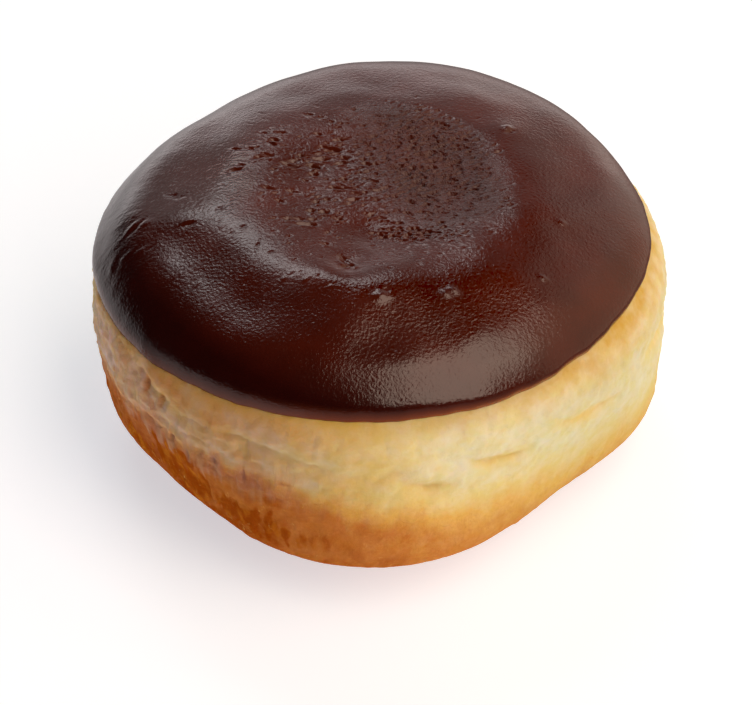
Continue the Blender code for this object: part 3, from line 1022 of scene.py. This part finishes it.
def icing_finish(colours):
    """Set chocolate icing: dark, half glossy and faintly pebbled, with painted light on the side that faces
    the key light.
    """
    f = Finish("chocolate_icing")
    thin = f.spread(f.attribute("thinning"), 0.25, 1.25)
    shade = f.spread(f.noise(0.009, 3.0), 0.3, 0.7, 0.85, 1.15)
    # Painted light: lighter, redder chocolate where the surface faces the key light
    chocolate = f.mix(f.attribute("painted_light"), solid(colours.icing), solid(colours.painted_lit_icing))
    colour = f.multiply(chocolate, (shade, shade, shade))
    pebbling = f.attribute("pebbling")
    gloss = f.spread(f.noise(0.006, 3.0), 0.3, 0.7, 0.14, 0.19)
    skin = f.noise(0.00050, 2.0, 0.5, distortion=0.4)
    pebbles = f.noise(0.00042, 2.0, 0.5, distortion=0.8)
    normal = f.bump(skin, 0.8, 0.00008)
    surface = {
        "Base Color": f.mix(thin, colour, solid(colours.thin_icing)),
        "Roughness": f.plus(gloss, f.times(pebbling, 0.06)),
        "Specular IOR Level": 0.5,
        "Normal": f.bump(pebbles, f.times(pebbling, 0.9), 0.00025, normal),
    }
    f.coat(surface)
    return f.material


# Stage


def compass(azimuth, elevation):
    """The unit vector of a direction given in degrees."""
    a, e = math.radians(azimuth), math.radians(elevation)
    return Vector((math.cos(e) * math.cos(a), math.cos(e) * math.sin(a), math.sin(e)))


def add_soft_box(name, box, radiance, colour=(1.0, 1.0, 1.0)):
    """A rectangular light in a plane that faces the doughnut, at SOFT_BOX_DISTANCE."""
    azimuth, elevation, turn, left, right, bottom, top = box
    outward = compass(azimuth, elevation)
    level = Vector((0, 0, 1)).cross(outward).normalized()
    upright = outward.cross(level)
    t = math.radians(turn)
    across = level * math.cos(t) + upright * math.sin(t)
    along = upright * math.cos(t) - level * math.sin(t)
    light = bpy.data.lights.new(name, "AREA")
    light.shape = "RECTANGLE"
    light.size = (right - left) * SOFT_BOX_DISTANCE
    light.size_y = (top - bottom) * SOFT_BOX_DISTANCE
    light.energy = radiance * math.pi * light.size * light.size_y
    light.color = colour
    placed = add_object(name, light)
    centre = outward + across * (left + right) / 2 + along * (bottom + top) / 2
    placed.location = Vector(CAMERA_TARGET) + centre * SOFT_BOX_DISTANCE
    placed.rotation_euler = Matrix((across, along, outward)).transposed().to_euler()


def add_floor(colour, glow):
    """A large flat pale floor, faintly bright by itself like a lit table, that no gloss mirrors."""
    half = FLOOR_SIZE / 2
    corners = [(-half, -half, 0), (half, -half, 0), (half, half, 0), (-half, half, 0)]
    mesh = bpy.data.meshes.new("floor")
    mesh.from_pydata(corners, [], [(0, 1, 2, 3)])
    finish = Finish("floor")
    surface = {
        "Base Color": solid(colour),
        "Roughness": 0.8,
        "Specular IOR Level": 0.1,
        "Emission Color": solid(FLOOR_LIGHT),
        "Emission Strength": glow,
    }
    finish.coat(surface)
    mesh.materials.append(finish.material)
    floor = add_object("floor", mesh)
    floor.visible_glossy = False


def add_sky(stage):
    """Surrounding light: a bright wall behind on the right with dark patches in it, and dim elsewhere."""
    world = bpy.data.worlds.new("studio")
    sky = NodeTree(world)
    background = sky.tree.nodes["Background"]
    direction = sky.node("ShaderNodeTexCoord").outputs["Generated"]
    split = sky.node("ShaderNodeSeparateXYZ", {"Vector": direction}).outputs
    azimuth = sky.math("ARCTAN2", split["Y"], split["X"])
    elevation = sky.math("ARCSINE", split["Z"])
    bright = 0.0
    for strength, around, half_wide, soft_wide, middle, half_tall, soft_tall in SKY_PATCHES:
        wide = sky.window(azimuth, around, half_wide, soft_wide)
        tall = sky.window(elevation, middle, half_tall, soft_tall)
        patch = sky.times(sky.times(wide, tall), strength)
        bright = sky.plus(bright, patch)
    total = sky.plus(sky.times(bright, stage.wall), stage.sky)
    sky.fill(background.inputs["Strength"], total)
    behind = sky.math("DIVIDE", sky.math("ABSOLUTE", azimuth), math.pi)
    tint = sky.ramp(behind, ((0.15, WARM_SKY), (0.50, COOL_SKY)))
    sky.fill(background.inputs["Color"], tint)
    bpy.context.scene.world = world


def add_camera(stage):
    """The camera, level-headed in front of the doughnut and looking down on it."""
    elevation = stage.camera_elevation
    back = Vector((0.0, -math.cos(elevation), math.sin(elevation)))
    up = Vector((0.0, math.sin(elevation), math.cos(elevation)))
    camera_data = bpy.data.cameras.new("camera")
    camera_data.lens = stage.focal_length
    camera_data.sensor_width = 36.0
    camera = add_object("camera", camera_data)
    camera.location = Vector(CAMERA_TARGET) + back * stage.camera_distance
    aim = Vector(CAMERA_TARGET) - up * CAMERA_DROP - Vector((1.0, 0.0, 0.0)) * CAMERA_LEFT
    camera.rotation_euler = (aim - camera.location).to_track_quat("-Z", "Y").to_euler()
    bpy.context.scene.camera = camera


class DOUGHNUT_OT_fry_dough(bpy.types.Operator):
    """Make the fried dough"""

    bl_idname = "doughnut.fry_dough"
    bl_label = "Fry the Dough"

    def execute(self, context):
        scene = context.scene
        make_dough(scene.doughnut_sizes, dough_finish(scene.doughnut_colours))
        return {"FINISHED"}


class DOUGHNUT_OT_pour_icing(bpy.types.Operator):
    """Make the chocolate icing on the dough"""

    bl_idname = "doughnut.pour_icing"
    bl_label = "Pour the Icing"

    def execute(self, context):
        scene = context.scene
        make_icing(scene.doughnut_sizes, icing_finish(scene.doughnut_colours))
        return {"FINISHED"}


class DOUGHNUT_OT_set_stage(bpy.types.Operator):
    """Set the floor, the lights and the camera"""

    bl_idname = "doughnut.set_stage"
    bl_label = "Set the Stage"

    def execute(self, context):
        stage = context.scene.doughnut_stage
        add_floor(stage.floor, stage.floor_glow)
        add_sky(stage)
        add_soft_box("key_light", KEY_BOX, stage.key, KEY_COLOUR)
        add_soft_box("back_light", BACK_BOX, stage.back)
        add_camera(stage)
        context.scene.view_settings.view_transform = "Standard"
        context.scene.view_settings.look = "None"
        return {"FINISHED"}


class DOUGHNUT_PT_panel(bpy.types.Panel):
    """The doughnut's sizes, colours and steps"""

    bl_idname = "DOUGHNUT_PT_panel"
    bl_label = "Doughnut"
    bl_space_type = "VIEW_3D"
    bl_region_type = "UI"
    bl_category = "Doughnut"

    def draw(self, context):
        for label in GROUPS:
            group = getattr(context.scene, label)
            for name in group.bl_rna.properties.keys():
                if name not in ("rna_type", "name"):
                    self.layout.prop(group, name)
        for operator in OPERATORS:
            self.layout.operator(operator.bl_idname)


GROUPS = {
    "doughnut_sizes": DoughnutSizes,
    "doughnut_colours": DoughnutColours,
    "doughnut_stage": DoughnutStage,
}
OPERATORS = (DOUGHNUT_OT_fry_dough, DOUGHNUT_OT_pour_icing, DOUGHNUT_OT_set_stage)


def register():
    """Register the classes and hang the settings on the scene."""
    for group in (*GROUPS.values(), *OPERATORS, DOUGHNUT_PT_panel):
        bpy.utils.register_class(group)
    for name, group in GROUPS.items():
        setattr(bpy.types.Scene, name, PointerProperty(type=group))


def unregister():
    """Take the settings off the scene and unregister the classes."""
    for name in GROUPS:
        delattr(bpy.types.Scene, name)
    for group in (DOUGHNUT_PT_panel, *reversed(OPERATORS), *reversed(GROUPS.values())):
        bpy.utils.unregister_class(group)


def main():
    """Make the doughnut and its stage."""
    register()
    bpy.ops.doughnut.fry_dough()
    bpy.ops.doughnut.pour_icing()
    bpy.ops.doughnut.set_stage()


if __name__ == "__main__":
    main()
